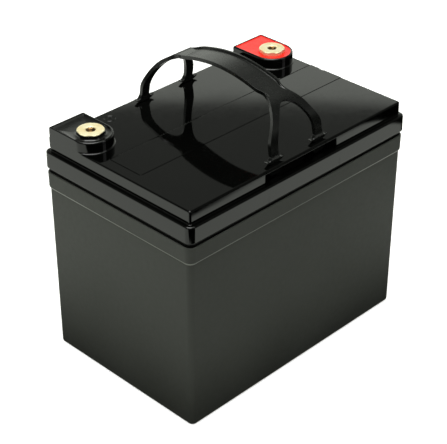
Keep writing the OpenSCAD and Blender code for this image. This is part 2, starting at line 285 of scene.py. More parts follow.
M_CASE = plastic("case_abs", (0.0525, 0.0550, 0.0480), (0.0630, 0.0660, 0.0585), (0.52, 0.64), 2600.0, 0.00002, blotch=14.0, wave=16.0, wave_d=0.0002, specular=0.35)
# light grey on the downward chamfer under the rim band: a painted highlight for the light line along that step
M_STEP_PAINTED_HIGHLIGHT = plastic("case_abs_edge_painted_highlight", (0.27, 0.28, 0.25), (0.32, 0.33, 0.30), (0.40, 0.50), 2600.0, 0.00001, blotch=30.0, specular=0.35)
M_LID = plastic("lid_abs_gloss", (0.0007, 0.0008, 0.0007), (0.0014, 0.0015, 0.0013), (0.03, 0.055), 2400.0, 0.0000006, blotch=20.0, wave=22.0, wave_d=0.00003)
M_STRIP = plastic("strip_abs_gloss", (0.0007, 0.0008, 0.0007), (0.0014, 0.0015, 0.0013), (0.03, 0.055), 2400.0, 0.0000006, blotch=26.0, wave=24.0, wave_d=0.00003)
M_HANDLE = plastic("handle_pp_satin", (0.0030, 0.0034, 0.0030), (0.0055, 0.0060, 0.0053), (0.24, 0.29), 1900.0, 0.0000008, blotch=40.0)
M_INNER = plastic("inner_lid_abs", (0.022, 0.024, 0.021), (0.034, 0.036, 0.032), (0.45, 0.60), 1800.0, 0.00002)
M_RUBBER = plastic("rubber_black", (0.010, 0.010, 0.010), (0.020, 0.020, 0.019), (0.62, 0.78), 1500.0, 0.00003)
# near-black, dull rubber on the case's top rebate: the seal bead's black rubber, made darker and duller than the
# other rubber as painted shade for the gap under the lid's flange
M_JOINT_SHADE = plastic("joint_rubber_and_painted_shade", (0.0012, 0.0013, 0.0012), (0.0030, 0.0031, 0.0029), (0.75, 0.90), 1500.0, 0.00002, specular=0.06)
M_MAT = plastic("glass_mat", (0.74, 0.73, 0.68), (0.88, 0.87, 0.83), (0.80, 0.95), 1400.0, 0.00010)
M_PPLATE = plastic("positive_paste", (0.075, 0.030, 0.018), (0.130, 0.055, 0.034), (0.70, 0.90), 1200.0, 0.00008)
M_NPLATE = plastic("negative_paste", (0.17, 0.18, 0.19), (0.27, 0.28, 0.29), (0.60, 0.80), 1200.0, 0.00008)


def epoxy(name, dark, light, rough, ripple=0.00008):
    """Poured resin: self-levelled surface with slow ripples, faint clouding and a fine haze."""
    m, t, p, co = start(name)
    slow = noise(t, co, 90.0, 3.0, 0.5)
    sock(p.inputs["Base Color"], mix_col(t, remap(t, slow, 0.36, 0.64, 0.0, 1.0), dark, light))
    sock(p.inputs["Roughness"], remap(t, noise(t, co, 260.0, 3.0, 0.5), 0.35, 0.65, rough[0], rough[1]))
    n1 = bump(t, noise(t, co, 110.0, 1.0, 0.4), ripple)
    sock(p.inputs["Normal"], bump(t, noise(t, co, 1600.0, 2.0, 0.5), 0.000002, 1.0, n1))
    return m


M_RED = epoxy("red_epoxy", (0.84, 0.010, 0.006), (0.93, 0.022, 0.012), (0.16, 0.26))
M_BLACK = epoxy("black_epoxy", (0.0035, 0.0036, 0.0034), (0.0065, 0.0066, 0.0062), (0.16, 0.24))


def metal(name, dark, light, rough, turned=False, scale=300.0, bump_d=0.00003):
    """Metal with small tarnish spots. turned adds the rings that a lathe leaves round each terminal's axis."""
    m, t, p, co = start(name)
    slow = noise(t, co, scale * 0.5, 3.0, 0.6)
    fine = noise(t, co, scale * 6.0, 2.0, 0.6)
    f = math_n(t, "ADD", math_n(t, "MULTIPLY", slow, 0.7), math_n(t, "MULTIPLY", fine, 0.3))
    sock(p.inputs["Base Color"], mix_col(t, remap(t, f, 0.38, 0.62, 0.0, 1.0), dark, light))
    sock(p.inputs["Roughness"], remap(t, fine, 0.3, 0.7, rough[0], rough[1]))
    p.inputs["Metallic"].default_value = 1.0
    nrm = None
    if turned:
        sep = nd(t, "ShaderNodeSeparateXYZ", {0: co})
        ax = math_n(t, "SUBTRACT", math_n(t, "ABSOLUTE", sep.outputs[0]), TERM_X * MM)
        ay = math_n(t, "SUBTRACT", sep.outputs[1], TERM_Y * MM)
        r = math_n(t, "SQRT", math_n(t, "ADD", math_n(t, "MULTIPLY", ax, ax), math_n(t, "MULTIPLY", ay, ay)))
        ring = math_n(t, "SINE", math_n(t, "MULTIPLY", r, 2 * math.pi / 0.00035))
        nrm = bump(t, ring, 0.000006, 0.7)
    sock(p.inputs["Normal"], bump(t, fine, bump_d, 0.5, nrm))
    return m


M_BRASS = metal("brass_turned", (0.95, 0.82, 0.50), (1.0, 0.95, 0.72), (0.56, 0.66), turned=True, bump_d=0.000005)
# dark brown brass for the bore and thread: painted shade for the deep hole
M_BORE_PAINTED_SHADE = metal("brass_bore_painted_shade", (0.16, 0.085, 0.03), (0.34, 0.20, 0.08), (0.26, 0.38), bump_d=0.000005)
M_LEAD = metal("lead_cast", (0.30, 0.31, 0.33), (0.46, 0.47, 0.49), (0.45, 0.65), scale=200.0, bump_d=0.0001)


# ------------------------------------------------------------------ case
def arc_profile(cx, cz, r, a0, a1, n):
    """Points (inset, z) on an arc."""
    return [(cx + r * math.cos(rad(a0 + (a1 - a0) * i / n)), cz + r * math.sin(rad(a0 + (a1 - a0) * i / n))) for i in range(n + 1)]


def ring_stack(profile, l, w, r, n=10):
    """Stack of rounded rectangles. Each profile entry is (inset from the l by w outline, z)."""
    return [rr(l - 2 * i, w - 2 * i, r - i, z, n=n) for i, z in profile]


def make_case():
    L, W = case_hi[0] - case_lo[0], case_hi[1] - case_lo[1]
    top = case_hi[2]
    wall = top - 13.1
    wi, fi = 1.0, 1.4
    prof = [(fi + 1.5, 0.0)]
    prof += [(fi + 1.5 - 1.5 * math.sin(rad(a)), 1.5 - 1.5 * math.cos(rad(a))) for a in (15, 30, 45, 60, 75, 90)]
    prof += [(wi + 0.02, wall - 0.6), (wi, wall - 0.25), (wi - 0.06, wall + 0.02), (wi - 0.2, wall + 0.22)]
    prof += [(0.28, wall + 1.22), (0.16, wall + 1.42), (0.10, wall + 1.75), (0.0, top - 1.75), (0.04, top - 1.5), (0.16, top - 1.3), (0.36, top - 1.22), (0.95, top - 1.2), (0.95, top)]
    ob = link("case_shell", *loops_mesh(ring_stack(prof, L, W, 4.9, n=12)))
    t, p = 2.8, 1.9
    il, iw = L - 2 * (fi + t), W - 2 * (fi + t)
    cell = (il - 5 * p) / 6
    cuts = [loops_mesh([rr(cell - a, iw - a, 1.0, z, cx=(i - 2.5) * (cell + p), n=3) for a, z in ((1.2, 2.8), (0.3, 3.2), (0, 4.0), (0, top + 2))]) for i in range(6)]
    boolean(ob, cuts, "DIFFERENCE")
    holes = []
    for i in range(5):
        side = 1 if i % 2 else -1
        x = (i - 2) * (cell + p)
        ring = [(TERM_Y * side + 4.5 * math.cos(2 * math.pi * k / 32), 125 + 4.5 * math.sin(2 * math.pi * k / 32)) for k in range(32)]
        holes.append(loops_mesh([[(x + d, y, z) for y, z in ring] for d in (-p, p)]))
    boolean(ob, holes, "DIFFERENCE")
    ob.data.materials.append(M_CASE)
    ob.data.materials.append(M_STEP_PAINTED_HIGHLIGHT)
    ob.data.materials.append(M_JOINT_SHADE)
    fix_normals(ob)
    for f in ob.data.polygons:
        z = f.center[2] / MM
        # the chamfer under the rim band takes the painted highlight
        if wall + 0.1 < z < wall + 1.5 and abs(f.normal[2]) > 0.2:
            f.material_index = 1
        # the top rebate takes the joint rubber, partly painted shade for the gap under the flange
        elif z > top - 1.21:
            f.material_index = 2
    crisp(ob)
    return done(ob, "battery", "case", "case")


# ------------------------------------------------------------------ lid
def smooth01(v, a, b):
    t = min(max((v - a) / (b - a), 0), 1)
    return t * t * (3 - 2 * t)


def tower_loop(side, out, z, x_flush, y_flush, rc=1.3, n=44):
    """Outline of a terminal tower: half round towards -Y, square towards +Y. out is how far it stands off the plain outline;
    it never passes the flush planes."""
    r = TOWER_R + out
    ye = y_flush + min(out, 0)
    rc = max(rc + min(out, 0), 0.25)
    pts = [(r * math.cos(rad(180 + 180 * i / n)), r * math.sin(rad(180 + 180 * i / n)), 0) for i in range(n + 1)]
    yy = ye - TERM_Y
    for k in range(1, 5):
        pts.append((r, (yy - rc) * k / 4, 0))
    for i in range(1, 7):
        a = rad(90 * i / 6)
        pts.append((r - rc + rc * math.cos(a), yy - rc + rc * math.sin(a), 0))
    for i in range(0, 7):
        a = rad(90 + 90 * i / 6)
        pts.append((-r + rc + rc * math.cos(a), yy - rc + rc * math.sin(a), 0))
    for k in range(3, 0, -1):
        pts.append((-r, (yy - rc) * k / 4, 0))
    out_pts = []
    for x, y, _ in pts:
        px = side * TERM_X + x
        px = min(px, x_flush) if side > 0 else max(px, -x_flush)
        out_pts.append((px, min(TERM_Y + y, y_flush), z))
    return out_pts


def tower(side):
    R = 0.9
    lp = [tower_loop(side, R, FLANGE1 + 2.4, FLUSH_X - 0.02, FLUSH_Y - 0.02), tower_loop(side, R, TOP + 0.02, FLUSH_X - 0.04, FLUSH_Y - 0.04)]
    for a in range(15, 91, 15):
        lp.append(tower_loop(side, R * (1 - math.sin(rad(a))), TOP + 0.02 + R * (1 - math.cos(rad(a))), FLUSH_X - 0.04, FLUSH_Y - 0.04))
    r1 = 1.05
    for a in range(0, 91, 15):
        i = r1 * (1 - math.cos(rad(a)))
        lp.append(tower_loop(side, -0.05 - i, TOWER_Z - r1 + r1 * math.sin(rad(a)), FLUSH_X - 0.05, FLUSH_Y - 0.05))
    r2 = 0.3
    for a in range(0, 91, 30):
        lp.append(tower_loop(side, -1.15 - r2 * math.sin(rad(a)), TOWER_Z - r2 + r2 * math.cos(rad(a)), FLUSH_X, FLUSH_Y))
    lp.append(tower_loop(side, -1.45, TOWER_Z - 3, FLUSH_X, FLUSH_Y))
    lp.append(tower_loop(side, -1.4, bed_lo[2], FLUSH_X, FLUSH_Y))
    return loops_mesh(lp)


def make_lid():
    e0 = 0.35
    u = 0.85
    prof = [(e0 + 1.2, FLANGE0)]
    prof += [(u * (1 - math.sin(rad(a))), FLANGE0 + u * (1 - math.cos(rad(a)))) for a in range(0, 91, 15)]
    r = 1.05
    prof += [(0.12 + r * (1 - math.cos(rad(a))), FLANGE1 - r + r * math.sin(rad(a))) for a in range(0, 91, 15)]
    f = 0.45
    prof += [(LEDGE - f * (1 - math.sin(rad(a))), FLANGE1 + f * (1 - math.cos(rad(a)))) for a in range(0, 91, 18)]
    loops = ring_stack(prof, LID_L, LID_W, 4.5, n=10)
    turn = [a0 + 90 * i / 10 for a0 in (0, 90, 180, 270) for i in range(11)]
    for a in range(0, 91, 15):
        ring = []
        for k, t in enumerate(turn):
            b = 1.15 - 0.65 * smooth01(math.cos(rad(t - 45)), -0.6, 0.6)
            i = LEDGE + 0.1 + b * (1 - math.cos(rad(a)))
            x, y = rr(LID_L - 2 * i, LID_W - 2 * i, 4.5 - i if i < 4.2 else 0.3, n=10)[k]
            ring.append((x, y, TOP - b + b * math.sin(rad(a))))
        loops.append(ring)
    ob = link("lid_shell", *loops_mesh(loops))

    il = case_hi[0] - case_lo[0] - 8.4
    iw = case_hi[1] - case_lo[1] - 8.4
    boolean(ob, [box_cut(-il / 2, il / 2, -iw / 2 + 0.6, iw / 2 - 0.6, FLANGE0 - 1, TOP - 3)], "DIFFERENCE")
    sy0, sy1 = strip_lo[1], strip_hi[1]
    x0 = strip_lo[0]
    # solid blocks that the handle pockets are cut from
    for s in (-1, 1):
        ya, yb = sorted((s * 52.0, s * (LID_W / 2 - LEDGE - 0.6)))
        boolean(ob, [box_cut(-34, 34, ya, yb, FLANGE1 - 2.4, TOP - 0.7)], "UNION")
    boolean(ob, [tower(-1), tower(1)], "UNION")

    # seat of the strip, with a fine chamfer along its joint line
    g = 0.3
    ys, yw = (sy0 + sy1) / 2, sy1 - sy0 + 2 * g
    xa, xb = x0 - g, LID_L / 2 + 2
    seat = [rr(xb - xa + 2 * o, yw + 2 * o, 0.5 + o, z, cx=(xa + xb) / 2, cy=ys, n=3) for o, z in ((0, strip_lo[2] + 1.0), (0, TOP - 0.16), (0.24, TOP + 0.08))]
    boolean(ob, [loops_mesh(seat)], "DIFFERENCE")
    boolean(ob, [box_cut(x0 + 1, -x0 - 1, sy0 + 2.5, sy1 - 2.5, TOP - 7, TOP + 1)], "DIFFERENCE")

    # handle pockets with softened mouths, and the slots over them
    for s in (-1, 1):
        pz0, pz1 = FLANGE1 + 0.02, TOP - 2.0
        lp = []
        wall = LID_W / 2 - LEDGE
        for d, o in ((54.0, 0.0), (wall - 0.55, 0.0), (wall - 0.3, 0.07), (wall - 0.1, 0.25), (wall + 0.06, 0.52), (wall + 3.5, 0.52)):
            rz, ring = 0.7, []
            for sx, sz, a0 in ((1, 1, 0), (-1, 1, 90)):
                for i in range(6):
                    a = rad(a0 + 90 * i / 5)
                    ring.append((sx * (32 + o - rz) + rz * math.cos(a), s * d, pz1 + o - rz + rz * math.sin(a)))
            ring += [(-(32 + o), s * d, pz0), (32 + o, s * d, pz0)]
            lp.append(ring)
        boolean(ob, [loops_mesh(lp)], "DIFFERENCE")
        sl = []
        for sx in (-1, 1):
            sl.append(loops_mesh([rr(7.8 + 2 * o, 3.2 + 2 * o, 0.6 + o, z, cx=sx * 19.5, cy=s * LEG_Y, n=4) for o, z in ((0, TOP - 3), (0, TOP - 0.22), (0.05, TOP - 0.1), (0.34, TOP + 0.12))]))
        boolean(ob, sl, "DIFFERENCE")
    # fine mould lines down the flange below the ends of each pocket
    lines = []
    for s in (-1, 1):
        for x in (-32, 32):
            y = s * LID_W / 2
            lines.append(box_cut(x - 0.07, x + 0.07, y - 0.08, y + 0.08, FLANGE0 - 1, FLANGE1 - 0.7))
    boolean(ob, lines, "DIFFERENCE")
    # minus and plus signs in rings, engraved beside the terminals
    marks = []
    for s in (-1, 1):
        cx, cy = s * 52.0, 53.7
        for a0 in (8, 188):
            arc = []
            for i in range(25):
                a = rad(a0 + 164 * i / 24)
                arc.append([(cx + r * math.cos(a), cy + r * math.sin(a), z) for r, z in ((3.8, TOP + 0.02), (3.6, TOP - 0.15), (3.4, TOP - 0.15), (3.2, TOP + 0.02))])
            marks.append([loops_mesh(arc)])
        for l, w in ([(3.2, 0.35)] if s < 0 else [(3.2, 0.35), (0.35, 3.2)]):
            marks.append([loops_mesh([rr(l + 2 * o, w + 2 * o, 0.15 + o, z, cx=cx, cy=cy, n=3) for o, z in ((0, TOP - 0.14), (0.16, TOP + 0.02))])])
    for part in marks:
        boolean(ob, part, "DIFFERENCE")
    # post holes, with a recess for each gasket
    boolean(ob, [cyl(s * TERM_X, TERM_Y, 6.3, 140, bed_lo[2] + 1, 48) for s in (-1, 1)], "DIFFERENCE")
    boolean(ob, [cyl(s * TERM_X, TERM_Y, 9.0, bed_lo[2] - 2, bed_lo[2] + 1, 48) for s in (-1, 1)], "DIFFERENCE")
    ob.data.materials.append(M_LID)
    crisp(fix_normals(ob))
    return done(ob, "battery", "lid", "lid", "negative_tower", "positive_tower")


def make_strip():
    x0, x1, y0, y1, z0, z1 = strip_lo[0], strip_hi[0], strip_lo[1], strip_hi[1], TOP - 2.4, TOP
    lp = []
    for o, z in ((0.35, z0), (0.1, z0 + 0.1), (0, z0 + 0.35), (0, z1 - 0.22), (0.05, z1 - 0.09), (0.16, z1 - 0.015), (0.3, z1)):
        lp.append(rr(x1 - x0 - 2 * o, y1 - y0 - 2 * o, 0.55 - o, z, cx=(x0 + x1) / 2, cy=(y0 + y1) / 2, n=4))
    ob = link("vent_strip", *loops_mesh(lp))
    ribs = [box_cut(x0 + 2.8, -x0 - 2.8, y0 + 2.8, y0 + 4.2, z0 - 1, z0 + 0.3), box_cut(x0 + 2.8, -x0 - 2.8, y1 - 4.2, y1 - 2.8, z0 - 1, z0 + 0.3)]
    boolean(ob, ribs, "UNION")
    ym = (y0 + y1) / 2
    boolean(ob, [loops_mesh([rr(2 + 2 * o, 4 + 2 * o, 0.6 + o, z, cx=x1 + 0.35, cy=ym + 3.5, n=4) for o, z in ((0, z1 - 0.5), (0, z1 - 0.12), (0.2, z1 + 0.1))])], "DIFFERENCE")
    ob.data.materials.append(M_STRIP)
    crisp(fix_normals(ob))
    return done(ob, "battery", "vent_cover", "vent_cover")


# ------------------------------------------------------------------ terminals and their resin
AF = 16.0


def hex_r(theta):
    d = math.degrees(theta) - 15
    d = (d % 60) - 30
    return AF / 2 / math.cos(rad(d))


def make_terminal(name, node, side):
    n = 144
    th = [rad(15 + 360 * i / n) for i in range(n)]
    z1, z0 = TERM_Z, TERM_Z0
    cx, cy = side * TERM_X, TERM_Y

    def ring(fr, fz):
        return [(cx + fr(t) * math.cos(t), cy + fr(t) * math.sin(t), fz(t)) for t in th]

    # hexagon whose corners and top edge are turned round
    def corner(t, cap):
        return min(hex_r(t) * 1.03, cap)

    lp = [ring(lambda t: corner(t, 8.65) - 0.4, lambda t: z0)]
    for cap, dz in ((8.65, z1 - z0 - 0.4), (8.65, 1.3), (8.65, 0.62), (8.62, 0.42), (8.55, 0.26), (8.44, 0.13), (8.3, 0.05), (8.1, 0.01)):
        lp.append(ring(lambda t, cap=cap: corner(t, cap), lambda t, dz=dz: z1 - dz))
    lp.append(ring(lambda t: 7.35, lambda t: z1))
    lp.append(ring(lambda t: 5.2, lambda t: z1))
    # countersink, then a real thread: the wall's radius follows a helix of 1 mm pitch
    for r, dz in ((3.55, 0.0), (3.42, 0.03), (3.3, 0.12), (3.05, 0.42)):
        lp.append(ring(lambda t, r=r: r, lambda t, dz=dz: z1 - dz))
    steps = 54
    for k in range(1, steps + 1):
        dz = 0.42 + 8.2 * k / steps

        def fr(t, dz=dz):
            ph = ((z1 - dz) / 1.0 - side * t / (2 * math.pi)) % 1.0
            tri = abs(2 * ph - 1)
            return 2.52 + 0.55 * min(max((tri - 0.12) / 0.76, 0), 1)
        lp.append(ring(fr, lambda t, dz=dz: z1 - dz))
    lp.append(ring(lambda t: 1.6, lambda t: z1 - 8.8))
    lp.append(ring(lambda t: 0.3, lambda t: z1 - 9.0))
    ob = link(name, *loops_mesh(lp), mats=[M_BRASS, M_BORE_PAINTED_SHADE, M_BLACK])
    fix_normals(ob)
    for f in ob.data.polygons:
        c = f.center / MM
        d = math.hypot(c[0] - cx, c[1] - cy)
        # the bore and thread take the darker brass as painted shade
        if d < 3.15 and c[2] < z1 - 0.2:
            f.material_index = 1
        # the negative terminal's hex flanks below the top take the black epoxy: painted shade for the dark ring round
        # the disc
        elif side < 0 and d > 6 and c[2] < z1 - 0.6:
            f.material_index = 2
    crisp(ob, 32)
    return done(ob, "battery", "brass", node)


def make_resin(name, node, side, lo, hi, mat, dish):
    n_out = len(tower_loop(side, -1.4, 0, 999, FLUSH_Y))
    outline = [(x, y) for x, y, _ in tower_loop(side, -1.42, 0, 999, FLUSH_Y)]
    cx, cy = side * TERM_X, TERM_Y
    z0, z1 = lo[2], hi[2]
    inner = []
    for x, y in outline:
        t = math.atan2(y - cy, x - cx)
        r = min(hex_r(t) * 1.03, 8.65) + 0.01
        inner.append((cx + r * math.cos(t), cy + r * math.sin(t)))
    lp = [[(x, y, z0) for x, y in outline]]
    us = [1.0, 0.985, 0.965, 0.94, 0.91, 0.87, 0.82, 0.76, 0.69, 0.61, 0.53, 0.45, 0.37, 0.29, 0.22, 0.16, 0.115, 0.08, 0.05, 0.025, 0.0]
    for u in us:
        ring = []
        for (xo, yo), (xi, yi) in zip(outline, inner):
            x, y = xi + (xo - xi) * u, yi + (yo - yi) * u
            full = math.hypot(xo - xi, yo - yi)
            dw, dt = (1 - u) * full, u * full
            ring.append((x, y, z1 + dish(dw, dt, y)))
        lp.append(ring)
    ri = [(cx + 6.25 * math.cos(math.atan2(y - cy, x - cx)), cy + 6.25 * math.sin(math.atan2(y - cy, x - cx))) for x, y in inner]
    lp.append([(x, y, TERM_Z0) for x, y in inner])
    lp.append([(x, y, TERM_Z0 - 0.02) for x, y in ri])
    lp.append([(x, y, z0) for x, y in ri])
    verts, faces = loops_mesh(lp, cap0=False, cap1=False)
    n = n_out
    last = (len(lp) - 1) * n
    for i in range(n):
        faces.append((i, (i + 1) % n, last + (i + 1) % n, last + i)[::-1])
    ob = link(name, verts, faces, mats=[mat])
    crisp(fix_normals(ob), 50)
    return done(ob, "battery", "red_epoxy" if side > 0 else "black_epoxy", node)


def red_dish(dw, dt, y):
    return 0.22 * math.exp(-dw / 0.5) + 0.22 * math.exp(-dt / 0.6) - 0.12


def black_dish(dw, dt, y):
    rise = 0.35 + 1.1 * smooth01(y - TERM_Y, -3, 7)
    return 0.15 + rise * math.exp(-dw / 2.4) + 1.0 * math.exp(-dt / 0.6) - 0.3 * min(max((y - TERM_Y) / 24, -0.5), 1)


# ------------------------------------------------------------------ handle
hz = han_hi[2] - 1.2
C0 = [(0, hz), (15, hz), (32, hz - 4), (43, hz - 9.6)]
C1 = [(43, hz - 9.6), (50.9, hz - 13.6), (55.1, 173), (56.1, 163)]
C2 = [(56.1, 163), (56.4, 160), (LEG_Y, 159.5), (LEG_Y, 156)]
C3 = [(LEG_Y, 156), (LEG_Y, 153), (LEG_Y, 150), (LEG_Y, han_lo[2])]


def bez(p, t):
    a, b, c, d = (1 - t) ** 3, 3 * (1 - t) ** 2 * t, 3 * (1 - t) * t * t, t ** 3
    return tuple(a * p[0][k] + b * p[1][k] + c * p[2][k] + d * p[3][k] for k in (0, 1))


def dbez(p, t):
    a, b, c = 3 * (1 - t) ** 2, 6 * (1 - t) * t, 3 * t * t
    return tuple(a * (p[1][k] - p[0][k]) + b * (p[2][k] - p[1][k]) + c * (p[3][k] - p[2][k]) for k in (0, 1))


RUN = []
for seg, cv in enumerate((C0, C1, C2, C3)):
    for i in range(0 if seg == 0 else 1, 121):
        y, z = bez(cv, i / 120)
        dy, dz = dbez(cv, i / 120)
        m = math.hypot(dy, dz) or 1
        s = RUN[-1][0] + math.hypot(y - RUN[-1][1], z - RUN[-1][2]) if RUN else 0.0
        RUN.append((s, y, z, -dz / m, dy / m))
S_END = RUN[-1][0]


def at_s(s):
    """(y, z, ny, nz) of the strap's middle line at arc length s."""
    s = min(max(s, 0), S_END)
    lo, hi = 0, len(RUN) - 1
    while hi - lo > 1:
        mid = (lo + hi) // 2
        if RUN[mid][0] <= s:
            lo = mid
        else:
            hi = mid
    a, b = RUN[lo], RUN[hi]
    f = (s - a[0]) / max(b[0] - a[0], 1e-9)
    ny, nz = a[3] + (b[3] - a[3]) * f, a[4] + (b[4] - a[4]) * f
    m = math.hypot(ny, nz)
    return a[1] + (b[1] - a[1]) * f, a[2] + (b[2] - a[2]) * f, ny / m, nz / m


def s_of_z(z):
    lo, hi = 0.0, S_END
    for _ in range(50):
        mid = (lo + hi) / 2
        if at_s(mid)[1] > z:
            lo = mid
        else:
            hi = mid
    return (lo + hi) / 2


def table(v, pts):
    """Smooth curve through (v, value) pairs, sorted by v."""
    if v <= pts[0][0]:
        return pts[0][1]
    if v >= pts[-1][0]:
        return pts[-1][1]
    k = max(i for i in range(len(pts)) if pts[i][0] <= v)
    k = min(k, len(pts) - 2)
    (x0, y0), (x1, y1) = pts[k], pts[k + 1]
    xm, ym = pts[k - 1] if k > 0 else (2 * x0 - x1, 2 * y0 - y1)
    xp, yp = pts[k + 2] if k + 2 < len(pts) else (2 * x1 - x0, 2 * y1 - y0)
    h = x1 - x0
    m0, m1 = (y1 - ym) / (x1 - xm) * h, (yp - y0) / (xp - x0) * h
    t = (v - x0) / h
    return (2 * t ** 3 - 3 * t * t + 1) * y0 + (t ** 3 - 2 * t * t + t) * m0 + (-2 * t ** 3 + 3 * t * t) * y1 + (t ** 3 - t * t) * m1


X_OUT = [(147, 22.7), (156, 22.7), (163, 22.7), (166.9, 22.5), (169.7, 21.5), (173.6, 19.2), (177.6, 16.5), (180.8, 14.4), (183.1, 12.7), (184.8, 11.0), (185.9, 9.8), (186.8, 8.75), (187.8, 8.05), (188.6, 7.9), (189.2, 8.4), (189.8, 9.2), (190.5, 9.65), (191.5, 9.7), (200, 9.7)]
X_IN = [(147, 16.3), (156, 16.3), (163, 16.3), (166.9, 15.9), (170.6, 14.7), (172.6, 13.8), (175.4, 12.1), (177.5, 10.8), (179.6, 9.2), (181, 7.9), (182.2, 6.5), (183.0, 5.3), (183.6, 4.1), (184.0, 3.1), (184.25, 2.0), (184.38, 1.1)]
Z_CROTCH = 184.45


def make_handle():
    edge = [0.0, 0.35, 0.7, 1.0, 1.2, 1.36, 1.52, 1.68, 1.84, 2.0, 2.25, 2.7, 3.6, 5.2, 7.2, 9.7]
    frac = [1 - e / 9.7 for e in edge][::-1]
    s_c = s_of_z(Z_CROTCH)
    rows = []
    n1 = 64
    for i in range(n1 + 1):
        s = s_c * i / n1
        rows.append(((0.0, s), (table(at_s(s)[1], X_OUT), s)))
    # lower part: two curves, each walked by its own length
    zs = [Z_CROTCH - (Z_CROTCH - 147.2) * (k / 400) ** 1.5 for k in range(401)]
    inner, outer = [(0.0, s_c)], [(table(Z_CROTCH, X_OUT), s_c)]
    for z in zs[1:]:
        s = s_of_z(z)
        inner.append((table(z, X_IN) if z < 184.38 else 1.1 * math.sqrt(max(Z_CROTCH - z, 0) / 0.07), s))
        outer.append((table(z, X_OUT), s))

    def walk(c):
        d = [0.0]
        for a, b in zip(c, c[1:]):
            d.append(d[-1] + math.hypot(b[0] - a[0], b[1] - a[1]))
        return d

    di, do = walk(inner), walk(outer)

    def pick(c, d, t):
        t *= d[-1]
        lo, hi = 0, len(d) - 1
        while hi - lo > 1:
            mid = (lo + hi) // 2
            if d[mid] <= t:
                lo = mid
            else:
                hi = mid
        f = (t - d[lo]) / max(d[hi] - d[lo], 1e-9)
        return tuple(c[lo][k] + (c[hi][k] - c[lo][k]) * f for k in (0, 1))

    n2 = 64
    for i in range(1, n2 + 1):
        t = (i / n2)
        rows.append((pick(inner, di, t), pick(outer, do, t)))
    K = len(frac)
    H = 1.15
    top, bot = [], []
    for (xi, si), (xo, so) in rows:
        rt, rb = [], []
        for j, f in enumerate(frac):
            x, s = xi + (xo - xi) * f, si + (so - si) * f
            y, z, ny, nz = at_s(s)
            e = edge[::-1][j]
            prof = 1 - smooth01(e, 1.15, 2.0)
            fade = smooth01(z, 186.4, 190.4)
            o = 1.2 - H * (1 - prof) * fade
            rt.append((x, y + ny * o, z + nz * o))
            rb.append((x, y - ny * 1.2, z - nz * 1.2))
        top.append(rt)
        bot.append(rb)
    verts, faces = [], []
    R = len(rows)
    for g in (top, bot):
        for r in g:
            verts += r
    o2 = R * K
    for i in range(R - 1):
        for j in range(K - 1):
            a = i * K + j
            faces.append((a, a + 1, a + K + 1, a + K))
            faces.append((o2 + a, o2 + a + K, o2 + a + K + 1, o2 + a + 1))
        a = i * K + K - 1
        faces.append((a, o2 + a, o2 + a + K, a + K))
        if i >= n1:
            a = i * K
            faces.append((a, a + K, o2 + a + K, o2 + a))
    for j in range(K - 1):
        a = (R - 1) * K + j
        faces.append((a, a + 1, o2 + a + 1, o2 + a))
    allv, allf = [], []
    for sx in (1, -1):
        for sy in (1, -1):
            o = len(allv)
            allv += [(sx * x, sy * y, z) for x, y, z in verts]
            for q in faces:
                q = tuple(i + o for i in q)
                allf.append(q if sx * sy > 0 else q[::-1])
    ob = link("strap_handle", allv, allf)
    bm = bmesh.new()
    bm.from_mesh(ob.data)
    bmesh.ops.remove_doubles(bm, verts=bm.verts, dist=2e-6)
    bmesh.ops.recalc_face_normals(bm, faces=bm.faces)
    bm.normal_update()
    rim = [e for e in bm.edges if len(e.link_faces) == 2 and e.calc_face_angle(0) > rad(55)]
    bmesh.ops.bevel(bm, geom=rim, offset=0.5 * MM, offset_type="OFFSET", segments=4, profile=0.5, affect="EDGES", clamp_overlap=True)
    bm.to_mesh(ob.data)
    bm.free()
    # ears over the lid and barbs under its plate
    parts = []
    for sx in (-1, 1):
        for sy in (-1, 1):
            ear = [(-3.4, 155.3), (-4.8, 155.5), (-7.3, 156.9), (-7.5, 157.2), (-7.3, 157.5), (-5.9, 157.2), (-4.9, 157.5), (-4.0, 158.3), (-3.4, 159.6)]
            ear += [(-x, z) for x, z in ear[::-1]]
            barb = [(3.0, han_lo[2] + 0.02), (5.6, 149.2), (5.6, 149.7), (-5.6, 149.7), (-5.6, 149.2), (-3.0, han_lo[2] + 0.02)]
            for poly, ya, yb, r in ((ear, LEG_Y - 1.5, LEG_Y + 1.15, 0.4), (barb, LEG_Y - 1.15, LEG_Y + 1.15, 0.2)):
                cxp = sum(q[0] for q in poly) / len(poly)
                czp = sum(q[1] for q in poly) / len(poly)
                prof = [(1 - math.sin(rad(a)), 1 - math.cos(rad(a))) for a in (0, 30, 60, 90)]
                rings = []
                for k, y in [(r * k, ya + r * d) for k, d in prof] + [(r * k, yb - r * d) for k, d in prof[::-1]]:
                    rings.append([(sx * 19.5 + cxp + (x - cxp) * (1 - k / 7), sy * y, czp + (z - czp) * (1 - k / 2.4)) for x, z in poly])
                parts.append(loops_mesh(rings))
    boolean(ob, parts, "UNION")
    ob.data.materials.append(M_HANDLE)
    crisp(fix_normals(ob), 38)
    return done(ob, "handle", "handle", "handle")


make_case()
make_lid()
make_strip()
make_terminal("negative_terminal_hex", "negative_terminal", -1)
make_terminal("positive_terminal_hex", "positive_terminal", 1)
make_resin("negative_resin", "negative_seal", -1, bed_lo, bed_hi, M_BLACK, black_dish)
make_resin("positive_resin", "positive_seal", 1, red_lo, red_hi, M_RED, red_dish)
make_handle()

# the CAD nodes that stay get their own finish
KEEP = {
    "inner_lid": M_INNER, "lid_seal": M_RUBBER, "valve_caps": M_RUBBER, "positive_gasket": M_RUBBER, "negative_gasket": M_RUBBER,
    "positive_plates": M_PPLATE, "negative_plates": M_NPLATE, "separators": M_MAT,
    "positive_straps": M_LEAD, "negative_straps": M_LEAD, "intercell_welds": M_LEAD,
    "positive_post": M_LEAD, "negative_post": M_LEAD,
}
for name, m in KEEP.items():
    me = nodes[name].data
    if not me.materials:
        me.materials.append(m)
    for i in range(len(me.materials)):
        me.materials[i] = m

